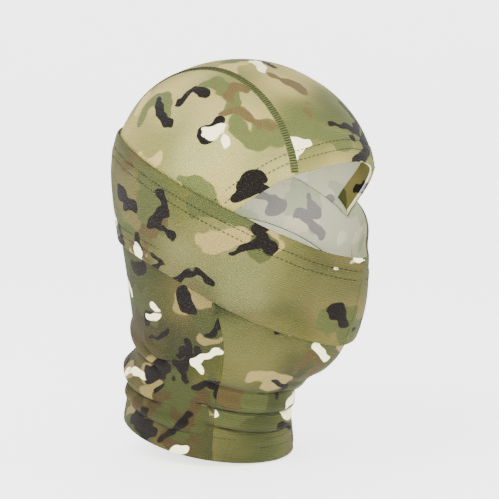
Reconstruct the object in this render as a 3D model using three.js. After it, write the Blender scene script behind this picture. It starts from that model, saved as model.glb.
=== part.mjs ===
// Knit balaclava: a hooded crown of three panels, a band across nose and cheeks whose front half
// is a drop-down mask, and a neck gaiter of three panels. Millimetres, face towards -Y, +Z up,
// origin at the inside of the crown's top, where it rests on the head.
import * as THREE from 'three';

// ---- cloth ----------------------------------------------------------------------------------
const CLOTH = 1.2;              // thickness of one layer of knit
const LAYER_GAP = 0.8;          // air between the hood and the band that laps over it
const SEAM_GAP = 0.4;           // space left between two panels that meet at a seam
const TUCK = 14;                // how far a panel runs on under the band
const CHIN_TUCK = 18;           // how far the chin panel runs up behind the mask
const HEM = 17, HEM_GAP = 0.7;  // depth of a turned hem, and the air between it and its panel
const ROWS_AT = [8, 14];        // the two rows of cover stitch, measured from a sewn edge
const STITCH_LIFT = 0.45;       // clearance under a row of thread
const ROW_HALF = 0.7, ROW_RISE = 0.5;
const FLATLOCK_HALF = 2.4, FLATLOCK_RISE = 0.7;
const RIDGE_HALF = 1.5, RIDGE_RISE = 0.8;
const MASK_EASE = 2.4;          // how far the mask's lower edge stands off, to slide over the chin

// ---- head form ------------------------------------------------------------------------------
const WIDTH = 159;              // outside of the head across the temples
const FRONT = 97.5, BACK = 99;  // brow and occiput from the middle of the head
const CROWN = 80;               // crown above the widest level, which is level 0 from here on
const NECK = 49;                // from the throat down to the bottom hem
const ROUND = { side: 2.2, front: 1.78, back: 2.05 };
const THROAT = -153;
const NECK_FRONT = 30, NECK_BACK = 101, NECK_HALF = 59.5;
// level, share of the half width, middle, front, back, roundness in front and behind
const LEVELS = [
  [0, 1, 0, -FRONT, BACK, 2, 2],
  [-20, 0.987, 0, 1.5 - FRONT, BACK - 1.5, 2, 2],
  [-50, 0.937, 2, 7 - FRONT, BACK - 8, 1.9, 2.05],
  [-80, 0.874, 5, 10 - FRONT, BACK - 13.5, 1.85, 2.1],
  [-105, 0.792, 10, 13.5 - FRONT, BACK - 15, 1.85, 2.1],
  [-123, 0.717, 18, 20 - FRONT, BACK - 14, 1.85, 2.1],
  [-134, 0.686, 24, 31.5 - FRONT, BACK - 11.5, 1.9, 2.1],
  [-143, 0.673, 29, 50.5 - FRONT, BACK - 9, 2, 2.05],
  [THROAT, 0.673, 32, -NECK_FRONT - 4, NECK_BACK - 9, 2, 2],
  [THROAT - 0.35 * NECK, 0.686, 34, -NECK_FRONT + 1, NECK_BACK - 6, 2, 2],
  [THROAT - NECK, NECK_HALF * 2 / WIDTH, 36, -NECK_FRONT, NECK_BACK, 2, 2],
];
const NOSE = { out: 13.5, half: 15, bridge: -40, chin: -132, reach: 70, spread: 0.34 };
// soft folds of the neck: level at the middle, rise to its far end, centre, reach (degrees), height
const FOLDS = [
  [-121, 12, 180, 66, -3.6], [-137, 12, 180, 70, 3.6], [-157, 8, 180, 72, 3.0],
  [-149, 4, 0, 64, 2.4], [-162, 6, 0, 70, 3.0], [-175, 5, 0, 64, 2.4],
];
const FOLD_HALF = 5.2;

// ---- edges: level of each edge at so many degrees round from the middle of the face -----------
const BAND_TOP = [[0, -54], [30, -38], [50, -24], [70, -11], [90, 2], [110, 14], [140, 27],
  [180, 34]];
const BAND_LOW = [[0, -111], [22, -103.5], [52, -87], [70, -76], [95, -63], [120, -53],
  [140, -48], [180, -44]];
const BROW = [[0, 11], [26, 4], [50, -17], [57, -26], [64, -38]];
const SPLIT_LOW = 95, SPLIT_TOP = 88;             // where mask and rear band part, in degrees
const SEAM_HALF = [[0, 43.5], [0.45, 38.5], [1, 34]]; // crown seams, half spread front to back
const HEM_RISE = 25;                              // the bottom hem, higher behind than in front
const SEAM_CHEEK = 63, SEAM_THROAT = 45;          // front neck seams, top and bottom, in degrees

const DEG = Math.PI / 180;
const lerp = (a, b, t) => a + (b - a) * t;
const clamp = (v, a, b) => Math.min(b, Math.max(a, v));
const smooth = (t) => { const k = clamp(t, 0, 1); return k * k * (3 - 2 * k); };
const gauss = (d, s) => Math.exp(-0.5 * (d / s) ** 2);

// smooth monotone curve through knots [x, y]
function curve(knots) {
  const k = [...knots].sort((p, q) => p[0] - q[0]);
  const n = k.length;
  const h = [], d = [], m = new Array(n).fill(0);
  for (let i = 0; i < n - 1; i++) {
    h.push(k[i + 1][0] - k[i][0]);
    d.push((k[i + 1][1] - k[i][1]) / h[i]);
  }
  for (let i = 1; i < n - 1; i++) {
    if (d[i - 1] * d[i] <= 0) continue;
    const a = 2 * h[i] + h[i - 1], b = h[i] + 2 * h[i - 1];
    m[i] = (a + b) / (a / d[i - 1] + b / d[i]);
  }
  return (x) => {
    const v = clamp(x, k[0][0], k[n - 1][0]);
    let i = 0;
    while (i < n - 2 && v > k[i + 1][0]) i++;
    const t = (v - k[i][0]) / h[i];
    return k[i][1] * (1 + 2 * t) * (1 - t) ** 2 + k[i + 1][1] * t * t * (3 - 2 * t)
      + h[i] * (m[i] * t * (1 - t) ** 2 - m[i + 1] * t * t * (1 - t));
  };
}
const column = (c) => curve(LEVELS.map((row) => [row[0], row[c]]));
const [halfShare, midAt, frontAt, backAt, roundFront, roundBack] = [1, 2, 3, 4, 5, 6].map(column);
const halfAt = (z) => halfShare(z) * WIDTH / 2;
const byDegrees = (knots) => { const f = curve(knots); return (u) => f(Math.abs(u) / DEG); };
const bandTop = byDegrees(BAND_TOP), bandLow = byDegrees(BAND_LOW), brow = byDegrees(BROW);
const HEM_FRONT = THROAT - NECK + 1;
const hemAt = (u) => HEM_FRONT + HEM_RISE * (1 - Math.cos(u)) / 2;

// ---- the form every panel lies on -----------------------------------------------------------
const roundness = (c, s) => ROUND.side * s * s + (c > 0 ? ROUND.front : ROUND.back) * c * c;

function nose(x, z) {
  const rise = 1 / (1 + Math.exp((z - NOSE.bridge) / 5));
  const fade = smooth((z - NOSE.chin) / NOSE.reach);
  const spread = NOSE.spread * Math.max(NOSE.bridge - 20 - z, 0);
  return NOSE.out * rise * fade * gauss(x, NOSE.half + spread);
}

function folds(u, z) {
  const clear = smooth((z - hemAt(u) - HEM - 2) / 9);       // the turned hem lies flat
  const wrap = (d) => Math.abs(((d % 360) + 540) % 360 - 180);
  return FOLDS.reduce((sum, [level, rise, centre, reach, high]) => {
    const away = wrap(u / DEG - centre) / reach;
    if (away >= 1) return sum;
    const line = level + (centre ? -rise : rise) * away * away;
    return sum + clear * high * (1 - away * away) ** 2 * (gauss(z - line, FOLD_HALF)
      - 0.45 * gauss(z - line + 2.2 * FOLD_HALF, FOLD_HALF));
  }, 0);
}

// point at u radians round from the middle of the face and height z
function formPoint(u, z) {
  const s = Math.sin(u), c = Math.cos(u);
  if (z >= 0) {
    const q = roundness(c, s), k = clamp(z / CROWN, 0, 1);
    const r = Math.max(1 - k ** q, 0) ** (1 / q);
    const f = Math.hypot(s / (WIDTH / 2), c / (c > 0 ? FRONT : BACK));
    return new THREE.Vector3(r * s / f, -r * c / f, z);
  }
  const mid = midAt(z);
  const deep = c > 0 ? mid - frontAt(z) : backAt(z) - mid;
  const p = c > 0 ? roundFront(z) : roundBack(z);
  const f = (Math.abs(s / halfAt(z)) ** p + Math.abs(c / deep) ** p) ** (1 / p);
  const r = 1 / f + folds(u, z);
  const x = r * s;
  return new THREE.Vector3(x, mid - r * c - (c > 0 ? nose(x, z) : 0), z);
}

function crownLevel(p) {
  const flat = Math.hypot(p.x, p.y) || 1e-9;
  const q = roundness(-p.y / flat, p.x / flat);
  const r = Math.hypot(p.x / (WIDTH / 2), p.y / (p.y < 0 ? FRONT : BACK));
  return (r ** q + (Math.abs(p.z) / CROWN) ** q) ** (1 / q);
}

function crownNormal(p) {
  const step = 0.02;
  const slope = (axis) => {
    const a = p.clone(), b = p.clone();
    a[axis] += step; b[axis] -= step;
    return crownLevel(a) - crownLevel(b);
  };
  return new THREE.Vector3(slope('x'), slope('y'), slope('z')).normalize();
}

// a place on the form: its point and its outward normal
function surf(u, z) {
  const p = formPoint(u, z);
  if (z >= 0) return { p, n: crownNormal(p) };
  const du = formPoint(u + 0.004, z).sub(formPoint(u - 0.004, z));
  const dz = formPoint(u, Math.min(z + 0.25, -1e-6)).sub(formPoint(u, z - 0.25));
  return { p, n: du.cross(dz).normalize() };
}

// a place on the crown at sideways x and roll angle b, from the brow (0) over to the nape (pi)
function crown(x, b) {
  const y = -FRONT * Math.cos(b), z = CROWN * Math.sin(b);
  let lo = 0, hi = 1.6;
  for (let i = 0; i < 40; i++) {
    const t = (lo + hi) / 2;
    if (crownLevel(new THREE.Vector3(x, t * y, t * z)) > 1) hi = t; else lo = t;
  }
  const p = new THREE.Vector3(x, lo * y, lo * z);
  return { p, n: crownNormal(p) };
}

const azimuth = (p) => Math.atan2(p.x, -p.y);
const lift = (place, d) => place.p.clone().addScaledVector(place.n, d);
const clearOf = (edge, place) => place.p.z - edge(azimuth(place.p));

function solve(f, a, b) {
  let lo = a, hi = b;
  const up = f(b) > f(a);
  for (let i = 0; i < 40; i++) {
    const m = (lo + hi) / 2;
    if ((f(m) > 0) === up) hi = m; else lo = m;
  }
  return (lo + hi) / 2;
}

// ---- bodies ---------------------------------------------------------------------------------
const group = new THREE.Group();
group.name = 'balaclava';

function body(name, points, faces, color) {
  let volume = 0;
  for (const [a, b, c] of faces) {
    volume += points[a].dot(new THREE.Vector3().crossVectors(points[b], points[c]));
  }
  const index = volume > 0 ? faces.flat() : faces.flatMap(([a, b, c]) => [a, c, b]);
  const geometry = new THREE.BufferGeometry();
  geometry.setAttribute('position',
    new THREE.Float32BufferAttribute(points.flatMap((p) => [p.x, p.y, p.z]), 3));
  geometry.setIndex(index);
  geometry.computeVertexNormals();
  const mesh = new THREE.Mesh(geometry, new THREE.MeshStandardMaterial({ color, roughness: 0.9 }));
  mesh.name = name;
  group.add(mesh);
}

// rings of points joined one to the next; capped at both ends unless the run closes on itself
function skin(name, rings, closed, color) {
  const n = rings[0].length, faces = [];
  const quad = (a, b, c, d) => faces.push([a, b, c], [a, c, d]);
  const last = closed ? rings.length : rings.length - 1;
  for (let i = 0; i < last; i++) {
    const here = i * n, next = ((i + 1) % rings.length) * n;
    for (let k = 0; k < n; k++) {
      const k2 = (k + 1) % n;
      quad(here + k, here + k2, next + k2, next + k);
    }
  }
  if (!closed) {
    const end = (rings.length - 1) * n, half = n / 2;
    for (let k = 0; k < half - 1; k++) {
      quad(k, n - 1 - k, n - 2 - k, k + 1);
      quad(end + k, end + k + 1, end + n - 2 - k, end + n - 1 - k);
    }
  }
  body(name, rings.flat(), faces, color);
}

// a sheet of cloth: place(i, j) on the form for i, j from 0 to 1, between two distances off it
function sheet(name, nu, nv, place, inner, outer, color, closed = false) {
  const rings = [];
  const count = closed ? nu : nu + 1;
  for (let i = 0; i < count; i++) {
    const line = [];
    for (let j = 0; j <= nv; j++) line.push(place(i / nu, j / nv));
    rings.push([...line.map((s) => lift(s, outer)), ...line.reverse().map((s) => lift(s, inner))]);
  }
  skin(name, rings, closed, color);
}

// a raised strip along a line of places: half width, foot and top above the form
function strip(name, steps, place, half, foot, top, color, closed = false) {
  const rings = [];
  const count = closed ? steps : steps + 1;
  const at = (t) => place(closed ? ((t % 1) + 1) % 1 : clamp(t, 0, 1));
  for (let i = 0; i < count; i++) {
    const t = i / steps, s = at(t), e = 0.25 / steps;
    const along = at(t + e).p.clone().sub(at(t - e).p);
    const side = new THREE.Vector3().crossVectors(s.n, along).normalize();
    const high = typeof top === 'function' ? top(i) : top;
    rings.push([[-half, foot], [half, foot], [half * 0.55, high], [-half * 0.55, high]]
      .map(([a, d]) => lift(s, d).addScaledVector(side, a)));
  }
  skin(name, rings, closed, color);
}

// the place a distance d in from an edge z = edge(u), square to the edge; inward is up or down
function inset(edge, u, d, inward = 1) {
  const reach = Math.max(Math.hypot(formPoint(u, edge(u)).x, formPoint(u, edge(u)).y), 40);
  const slope = (edge(u + 0.01) - edge(u - 0.01)) / 0.02 / reach;
  const square = Math.hypot(1, slope);
  return surf(u - inward * d * slope / square / reach, edge(u) + inward * d / square);
}

const SHADE = { crown: 0x7d8a55, side: 0x8c8a62, band: 0x8a835c, neck: 0x6f7a4c, chin: 0x8e8c68,
  thread: 0x4f5236, hem: 0x9aa07a };
const mirrored = [['right', -1], ['left', 1]];
const flip = (side, f) => (i, j) => {
  const s = f(i, j);
  return side > 0 ? s : { p: s.p.setX(-s.p.x), n: s.n.setX(-s.n.x) };
};

// ---- crown ----------------------------------------------------------------------------------
const seamHalf = curve(SEAM_HALF);
const rollFront = (x) => solve((b) => {
  const { p } = crown(x, b);
  return p.z - brow(azimuth(p));
}, 0.01, 60 * DEG);
const rollBack = (x) => solve((b) => {
  const { p } = crown(x, b);
  return p.z - bandTop(azimuth(p)) + TUCK;
}, 120 * DEG, 179 * DEG);
const seamPlace = (s, extra) => {
  const x = seamHalf(s) + extra;
  return crown(x, lerp(rollFront(x), rollBack(x), s));
};
sheet('crown_center_panel', 12, 20, (i, j) => {
  const x = (2 * i - 1) * (seamHalf(j) - SEAM_GAP / 2);
  return crown(x, lerp(rollFront(x), rollBack(x), j));
}, 0, CLOTH, SHADE.crown);

// The side panel's edges, each as [azimuth, tilt above the widest level]: seam, brow, nape, foot.
const NAPE_FROM = 0.8;          // share of the crown seam taken as the panel's long edge
const cornerU = solve((u) => brow(u) - bandTop(u) + TUCK, 45 * DEG, 64 * DEG);
const tilt = (z) => Math.asin(clamp(z / CROWN, -1, 1));
const onSeam = (s) => {
  const { p } = seamPlace(s, SEAM_GAP / 2);
  return [azimuth(p), tilt(p.z)];
};
const sideEdges = {
  seam: (i) => onSeam(NAPE_FROM * i),
  nape: (j) => onSeam(lerp(NAPE_FROM, 1, j)),
  brow: (j) => { const u = lerp(onSeam(0)[0], cornerU, j); return [u, tilt(brow(u))]; },
  foot: (i) => { const u = lerp(cornerU, onSeam(1)[0], i); return [u, tilt(bandTop(u) - TUCK)]; },
};
function sidePlace(i, j) {
  const { seam, nape, brow: front, foot } = sideEdges;
  const [u, a] = [0, 1].map((c) => (1 - j) * seam(i)[c] + j * foot(i)[c]
    + (1 - i) * front(j)[c] + i * nape(j)[c]
    - (1 - i) * ((1 - j) * seam(0)[c] + j * foot(0)[c])
    - i * ((1 - j) * seam(1)[c] + j * foot(1)[c]));
  return surf(u, CROWN * Math.sin(a));
}
for (const [word, side] of mirrored) {
  sheet(`crown_side_panel_${word}`, 16, 11, flip(side, sidePlace), 0, CLOTH, SHADE.side);
}
// flatlock seams: a ladder of thread across the joint, from above the brow rows to the band
for (const [word, side] of mirrored) {
  const from = solve((t) => clearOf(brow, seamPlace(t, 0)) - ROWS_AT[1] - 4, 0, 0.3);
  const to = solve((t) => clearOf(bandTop, seamPlace(t, 0)) - 3, 0.6, 1);
  strip(`flatlock_seam_${word}`, 56, (t) => flip(side, () => seamPlace(lerp(from, to, t), 0))(),
    FLATLOCK_HALF, CLOTH + STITCH_LIFT, (i) => CLOTH + STITCH_LIFT
      + FLATLOCK_RISE * (i % 2 ? 1 : 0.55), SHADE.thread);
}

// ---- brow: the turned hem round the top of the eye opening -----------------------------------
const browPlace = (t, d) => inset(brow, lerp(-1, 1, t) * (cornerU - 1.5 * DEG), d);
sheet('brow_hem', 32, 2, (i, j) => browPlace(i, lerp(0.8, HEM, j)), -HEM_GAP - CLOTH, -HEM_GAP,
  SHADE.hem);
// each row stops short of the band, or of the end of the hem
const browEnd = (d) => Math.min(0.97,
  solve((t) => 2.5 - clearOf(bandTop, browPlace(t, d)), 0.6, 0.999));
['outer', 'inner'].forEach((word, k) => {
  const end = browEnd(ROWS_AT[k]);
  strip(`brow_stitch_${word}`, 36, (t) => browPlace(lerp(1 - end, end, t), ROWS_AT[k]), ROW_HALF,
    CLOTH + STITCH_LIFT, CLOTH + STITCH_LIFT + ROW_RISE, SHADE.thread);
});

// ---- band: the rear half, sewn to the crown ---------------------------------------------------
const BAND_IN = CLOTH + LAYER_GAP, BAND_OUT = BAND_IN + CLOTH;
const splitAt = (j) => lerp(SPLIT_TOP, SPLIT_LOW, j) * DEG;
const backOr = (u) => Math.min(Math.abs(u), 2 * Math.PI - Math.abs(u));
function eased({ p, n }) {
  const u = Math.abs(azimuth(p));
  const down = (bandTop(u) - p.z) / (bandTop(u) - bandLow(u));
  const off = MASK_EASE * smooth((SPLIT_TOP * DEG - u) / 0.6) * smooth(down);
  return { p: p.clone().addScaledVector(n, off), n };
}
const bandPlace = (u, j) => eased(surf(u, lerp(bandTop(backOr(u)), bandLow(backOr(u)), j)));
const rearPlace = (i, j) => {
  const from = splitAt(j) + SEAM_GAP / 70;
  return bandPlace(lerp(from, 2 * Math.PI - from, i), j);
};
sheet('band_rear_panel', 32, 7, rearPlace, BAND_IN, BAND_OUT, SHADE.band);
const rowOnBand = (name, u0, u1, edge, d, way, steps) => strip(name, steps, (t) => (
  eased(inset(edge, lerp(u0, u1, t), d, way))), ROW_HALF, BAND_OUT + STITCH_LIFT,
BAND_OUT + STITCH_LIFT + ROW_RISE, SHADE.thread);
const rearFrom = (SPLIT_TOP + 3) * DEG, lowFrom = (SPLIT_LOW + 3) * DEG;
const rearTop = (u) => bandTop(backOr(u));
const rearLow = (u) => bandLow(backOr(u));
['upper', 'lower'].forEach((word, k) => {
  rowOnBand(`band_rear_top_stitch_${word}`, rearFrom, 2 * Math.PI - rearFrom, rearTop,
    ROWS_AT[k], -1, 32);
  rowOnBand(`band_rear_low_stitch_${word}`, lowFrom, 2 * Math.PI - lowFrom, rearLow,
    ROWS_AT[1 - k], 1, 32);
});

// ---- mask: the front half of the band, which drops below the chin ----------------------------
// evenly spaced along the band at the face, closer together round the nose
const maskU = (t, j) => t * (0.72 + 0.28 * t) * splitAt(j);
for (const [word, side] of mirrored) {
  sheet(`mask_panel_${word}`, 20, 10, flip(side, (i, j) => {
    const s = bandPlace(maskU(i, j), j);
    return i === 0 ? { p: s.p.setX(SEAM_GAP / 2), n: s.n.setX(0).normalize() } : s;
  }), BAND_IN, BAND_OUT, SHADE.band);
}
const belowRows = (ROWS_AT[1] + 4) / (bandTop(0) - bandLow(0));
strip('mask_front_seam', 22, (t) => bandPlace(0, lerp(belowRows, 0.985, t)), RIDGE_HALF,
  BAND_OUT + STITCH_LIFT, BAND_OUT + STITCH_LIFT + RIDGE_RISE, SHADE.thread);
['upper', 'lower'].forEach((word, k) => rowOnBand(`mask_top_stitch_${word}`,
  -(SPLIT_TOP - 2) * DEG, (SPLIT_TOP - 2) * DEG, bandTop, ROWS_AT[k], -1, 60));

// ---- neck: chin panel in front, a panel round each side, joined at the nape --------------------
const neckSeam = (z) => lerp(SEAM_CHEEK, SEAM_THROAT, smooth((-85 - z) / 65)) * DEG;
const chinRow = (u, v) => lerp(bandLow(u) + lerp(CHIN_TUCK, TUCK, smooth(Math.abs(u) / 1.6)),
  hemAt(u), v);
const seamU = (v) => neckSeam(lerp(THROAT / 2, HEM_FRONT, v));
const neckRows = 24;
// the rows that a neck seam's ridge spans, clear of the band and of the hem's stitching
function ridgeRows(u) {
  const long = chinRow(u, 0) - hemAt(u);
  return [Math.ceil(neckRows * (chinRow(u, 0) - bandLow(u) + 5) / long),
    Math.floor(neckRows * (1 - (ROWS_AT[1] + 6) / long))];
}
sheet('chin_panel', 14, neckRows, (i, j) => {
  const u = (2 * i - 1) * (seamU(j) - SEAM_GAP / 120);
  return surf(u, chinRow(u, j));
}, 0, CLOTH, SHADE.chin);
for (const [word, side] of mirrored) {
  sheet(`neck_side_panel_${word}`, 14, neckRows, flip(side, (i, j) => {
    const u = lerp(seamU(j) + SEAM_GAP / 120, Math.PI - SEAM_GAP / 120, i);
    return surf(u, chinRow(u, j));
  }), 0, CLOTH, SHADE.neck);
  const rows = ridgeRows(seamU(0.2));
  strip(`neck_front_seam_${word}`, rows[1] - rows[0], (t) => flip(side, () => {
    const v = lerp(...rows, t) / neckRows;
    return surf(seamU(v), chinRow(seamU(v), v));
  })(), RIDGE_HALF, CLOTH + STITCH_LIFT, CLOTH + STITCH_LIFT + RIDGE_RISE, SHADE.thread);
}
const napeRows = ridgeRows(Math.PI);
strip('neck_back_seam', napeRows[1] - napeRows[0], (t) => (
  surf(Math.PI, chinRow(Math.PI, lerp(...napeRows, t) / neckRows))), RIDGE_HALF,
CLOTH + STITCH_LIFT, CLOTH + STITCH_LIFT + RIDGE_RISE * 0.7, SHADE.thread);

// ---- bottom hem ------------------------------------------------------------------------------
const round = (t) => (2 * t - 1) * Math.PI;
const hemPlace = (t, d) => surf(round(t), hemAt(round(t)) + d);
sheet('neck_hem', 48, 2, (i, j) => hemPlace(i, lerp(0.6, HEM, j)), -HEM_GAP - CLOTH, -HEM_GAP,
  SHADE.hem, true);
['lower', 'upper'].forEach((word, k) => strip(`neck_hem_stitch_${word}`, 48, (t) => (
  hemPlace(t, ROWS_AT[k] + 2)), ROW_HALF, CLOTH + STITCH_LIFT, CLOTH + STITCH_LIFT + ROW_RISE,
SHADE.thread, true));

group.position.z = -CROWN;      // the origin is the crown's inside
export default group;
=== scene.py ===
"""Balaclava in printed stretch knit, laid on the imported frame. The form is worked in millimetres,
with level 0 at the widest part of the head, and every mesh is moved to the frame in metres."""
import math

import bmesh
import bpy
import numpy as np
from mathutils import Matrix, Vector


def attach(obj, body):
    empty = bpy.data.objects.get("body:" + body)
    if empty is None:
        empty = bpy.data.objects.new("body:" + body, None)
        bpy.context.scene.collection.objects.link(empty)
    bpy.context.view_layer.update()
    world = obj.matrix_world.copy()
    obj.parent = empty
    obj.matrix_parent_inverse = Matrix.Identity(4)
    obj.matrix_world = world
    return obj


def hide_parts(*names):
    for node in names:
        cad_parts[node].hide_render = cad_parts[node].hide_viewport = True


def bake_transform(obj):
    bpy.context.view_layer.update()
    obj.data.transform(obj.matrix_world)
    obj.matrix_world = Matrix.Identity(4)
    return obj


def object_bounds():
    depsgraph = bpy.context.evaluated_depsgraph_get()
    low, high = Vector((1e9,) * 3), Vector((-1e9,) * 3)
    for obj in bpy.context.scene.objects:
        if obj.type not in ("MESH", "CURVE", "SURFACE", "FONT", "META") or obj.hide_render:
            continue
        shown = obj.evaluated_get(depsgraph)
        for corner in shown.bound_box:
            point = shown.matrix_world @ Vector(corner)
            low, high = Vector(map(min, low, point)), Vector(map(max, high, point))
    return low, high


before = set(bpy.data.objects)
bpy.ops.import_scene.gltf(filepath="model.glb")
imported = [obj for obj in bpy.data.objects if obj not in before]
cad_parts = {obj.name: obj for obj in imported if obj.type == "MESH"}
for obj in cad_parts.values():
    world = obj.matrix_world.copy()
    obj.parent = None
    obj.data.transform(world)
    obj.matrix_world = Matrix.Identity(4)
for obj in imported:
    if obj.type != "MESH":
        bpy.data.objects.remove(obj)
CAD_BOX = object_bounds()
MM = 0.001
DEG = math.pi / 180

# ---- cloth -------------------------------------------------------------------------------------
CLOTH, LAYER_GAP = 1.2, 0.8
BAND_IN, BAND_OUT = CLOTH + LAYER_GAP, 2 * CLOTH + LAYER_GAP
CLOTH_IN = 0.25                 # the inner face of a hood panel, off the head
TUCK, CHIN_TUCK, HEM = 14, 18, 17
ROWS_AT = (8, 14)
MASK_EASE = 2.4
SEAM_GAP = 0.3

# ---- head form ---------------------------------------------------------------------------------
WIDTH, FRONT, BACK, CROWN = 159, 97.5, 99, 80
NECK, THROAT = 49, -153
NECK_FRONT, NECK_BACK, NECK_HALF = 30, 101, 59.5
ROUND_SIDE, ROUND_FRONT, ROUND_BACK = 2.2, 1.78, 2.05
# level, share of the half width, middle, front, back, roundness in front and behind
LEVELS = [
    (0, 1, 0, -FRONT, BACK, 2, 2),
    (-20, 0.987, 0, 1.5 - FRONT, BACK - 1.5, 2, 2),
    (-50, 0.937, 2, 7 - FRONT, BACK - 8, 1.9, 2.05),
    (-80, 0.874, 5, 10 - FRONT, BACK - 13.5, 1.85, 2.1),
    (-105, 0.792, 10, 13.5 - FRONT, BACK - 15, 1.85, 2.1),
    (-123, 0.717, 18, 20 - FRONT, BACK - 14, 1.85, 2.1),
    (-134, 0.686, 24, 31.5 - FRONT, BACK - 11.5, 1.9, 2.1),
    (-143, 0.673, 29, 50.5 - FRONT, BACK - 9, 2, 2.05),
    (THROAT, 0.673, 32, -NECK_FRONT - 4, NECK_BACK - 9, 2, 2),
    (THROAT - 0.35 * NECK, 0.686, 34, -NECK_FRONT + 1, NECK_BACK - 6, 2, 2),
    (THROAT - NECK, NECK_HALF * 2 / WIDTH, 36, -NECK_FRONT, NECK_BACK, 2, 2),
]
NOSE_OUT, NOSE_HALF, NOSE_BRIDGE, NOSE_CHIN, NOSE_REACH, NOSE_SPREAD = 13.5, 15, -40, -132, 70, 0.34
# soft folds of the neck: level at the middle, rise to the far end, centre, reach (degrees), height
FOLDS = [(-121, 12, 180, 66, -3.6), (-137, 12, 180, 70, 3.6), (-157, 8, 180, 72, 3.0),
         (-149, 4, 0, 64, 2.4), (-162, 6, 0, 70, 3.0), (-175, 5, 0, 64, 2.4)]
FOLD_HALF = 5.2
# creases the knit shows besides: from (degrees, level) to (degrees, level), height, half width
CREASES = [((-176, -96), (-88, -133), 2.2, 3.2), ((-172, -132), (-78, -156), 2.8, 3.4),
           ((-152, -150), (-46, -176), 2.8, 3.2), ((-120, -112), (-84, -124), 1.9, 2.8),
           ((-62, -132), (18, -146), 2.2, 3.4), ((-66, -150), (34, -163), 2.2, 3.0),
           ((-58, -165), (30, -176), 1.9, 2.8), ((176, -100), (92, -134), 1.8, 3.4),
           ((170, -136), (70, -158), 2.2, 3.2), ((64, -138), (10, -149), 1.8, 3.2),
           ((150, -154), (48, -172), 2.0, 3.0)]

# ---- edges: level at so many degrees from the middle of the face -------------------------------
BAND_TOP = [(0, -54), (30, -38), (50, -24), (70, -11), (90, 2), (110, 14), (140, 27), (180, 34)]
BAND_LOW = [(0, -111), (22, -103.5), (52, -87), (70, -76), (95, -63), (120, -53), (140, -48),
            (180, -44)]
BROW = [(0, 11), (26, 4), (50, -17), (57, -26), (64, -38)]
SEAM_HALF = [(0, 43.5), (0.45, 38.5), (1, 34)]
HEM_RISE, HEM_FRONT = 25, THROAT - NECK + 1
SEAM_CHEEK, SEAM_THROAT = 63, 45
SPLIT_TOP = 88


def smooth(t):
    k = np.clip(t, 0, 1)
    return k * k * (3 - 2 * k)


def gauss(d, s):
    return np.exp(-0.5 * (d / s) ** 2)


def lerp(a, b, t):
    return a + (b - a) * t


def curve(knots):
    """A smooth monotone curve through (x, y) knots, as the frame's panels use."""
    x, y = (np.array(c, float) for c in zip(*sorted(knots)))
    h, d = np.diff(x), np.diff(y) / np.diff(x)
    m = np.zeros(len(x))
    for i in range(1, len(x) - 1):
        if d[i - 1] * d[i] > 0:
            a, b = 2 * h[i] + h[i - 1], h[i] + 2 * h[i - 1]
            m[i] = (a + b) / (a / d[i - 1] + b / d[i])

    def at(v):
        v = np.clip(v, x[0], x[-1])
        i = np.clip(np.searchsorted(x, v) - 1, 0, len(x) - 2)
        t = (v - x[i]) / h[i]
        return (y[i] * (1 + 2 * t) * (1 - t) ** 2 + y[i + 1] * t * t * (3 - 2 * t)
                + h[i] * (m[i] * t * (1 - t) ** 2 - m[i + 1] * t * t * (1 - t)))
    return at


def column(c):
    return curve([(row[0], row[c]) for row in LEVELS])


half_share, mid_at, front_at, back_at, round_front, round_back = (column(c) for c in range(1, 7))
seam_half = curve(SEAM_HALF)


def by_degrees(knots):
    f = curve(knots)
    return lambda u: f(np.abs(np.mod(np.asarray(u, float) + math.pi, 2 * math.pi) - math.pi) / DEG)


band_top, band_low, brow = by_degrees(BAND_TOP), by_degrees(BAND_LOW), by_degrees(BROW)


def hem_at(u):
    return HEM_FRONT + HEM_RISE * (1 - np.cos(u)) / 2


def wrap_degrees(d):
    return np.abs(np.mod(d + 180, 360) - 180)


def folds(u, z):
    clear = smooth((z - hem_at(u) - HEM - 2) / 9)
    total = 0
    for level, rise, centre, reach, high in FOLDS:
        away = np.clip(wrap_degrees(u / DEG - centre) / reach, 0, 1)
        line = level + (-rise if centre else rise) * away ** 2
        total = total + clear * high * (1 - away ** 2) ** 2 * (
            gauss(z - line, FOLD_HALF) - 0.45 * gauss(z - line + 2.2 * FOLD_HALF, FOLD_HALF))
    return total


CREASE = 1.3                    # how strongly all the creases show


def creases(u, z):
    """Narrow rolls of slack knit, each with a sharp valley under it."""
    clear = smooth((z - hem_at(u) - HEM + 4) / 8)
    total = 0
    around = np.mod(u / DEG + 180, 360) - 180
    for (u0, z0), (u1, z1), high, half in CREASES:
        t = (around - u0) / (u1 - u0)
        line = lerp(z0, z1, np.clip(t, 0, 1)) - 5 * np.sin(math.pi * np.clip(t, 0, 1))
        ends = smooth(t / 0.22) * smooth((1 - t) / 0.22)
        d = z - line
        total = total + clear * ends * CREASE * high * (
            gauss(d, half) - 1.3 * gauss(d + 1.5 * half, half * 0.4))
    return total


def roundness(c, s):
    return ROUND_SIDE * s * s + np.where(c > 0, ROUND_FRONT, ROUND_BACK) * c * c


def nose(x, z):
    rise = 1 / (1 + np.exp((z - NOSE_BRIDGE) / 5))
    fade = smooth((z - NOSE_CHIN) / NOSE_REACH)
    spread = NOSE_SPREAD * np.maximum(NOSE_BRIDGE - 20 - z, 0)
    return NOSE_OUT * rise * fade * gauss(x, NOSE_HALF + spread)


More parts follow.
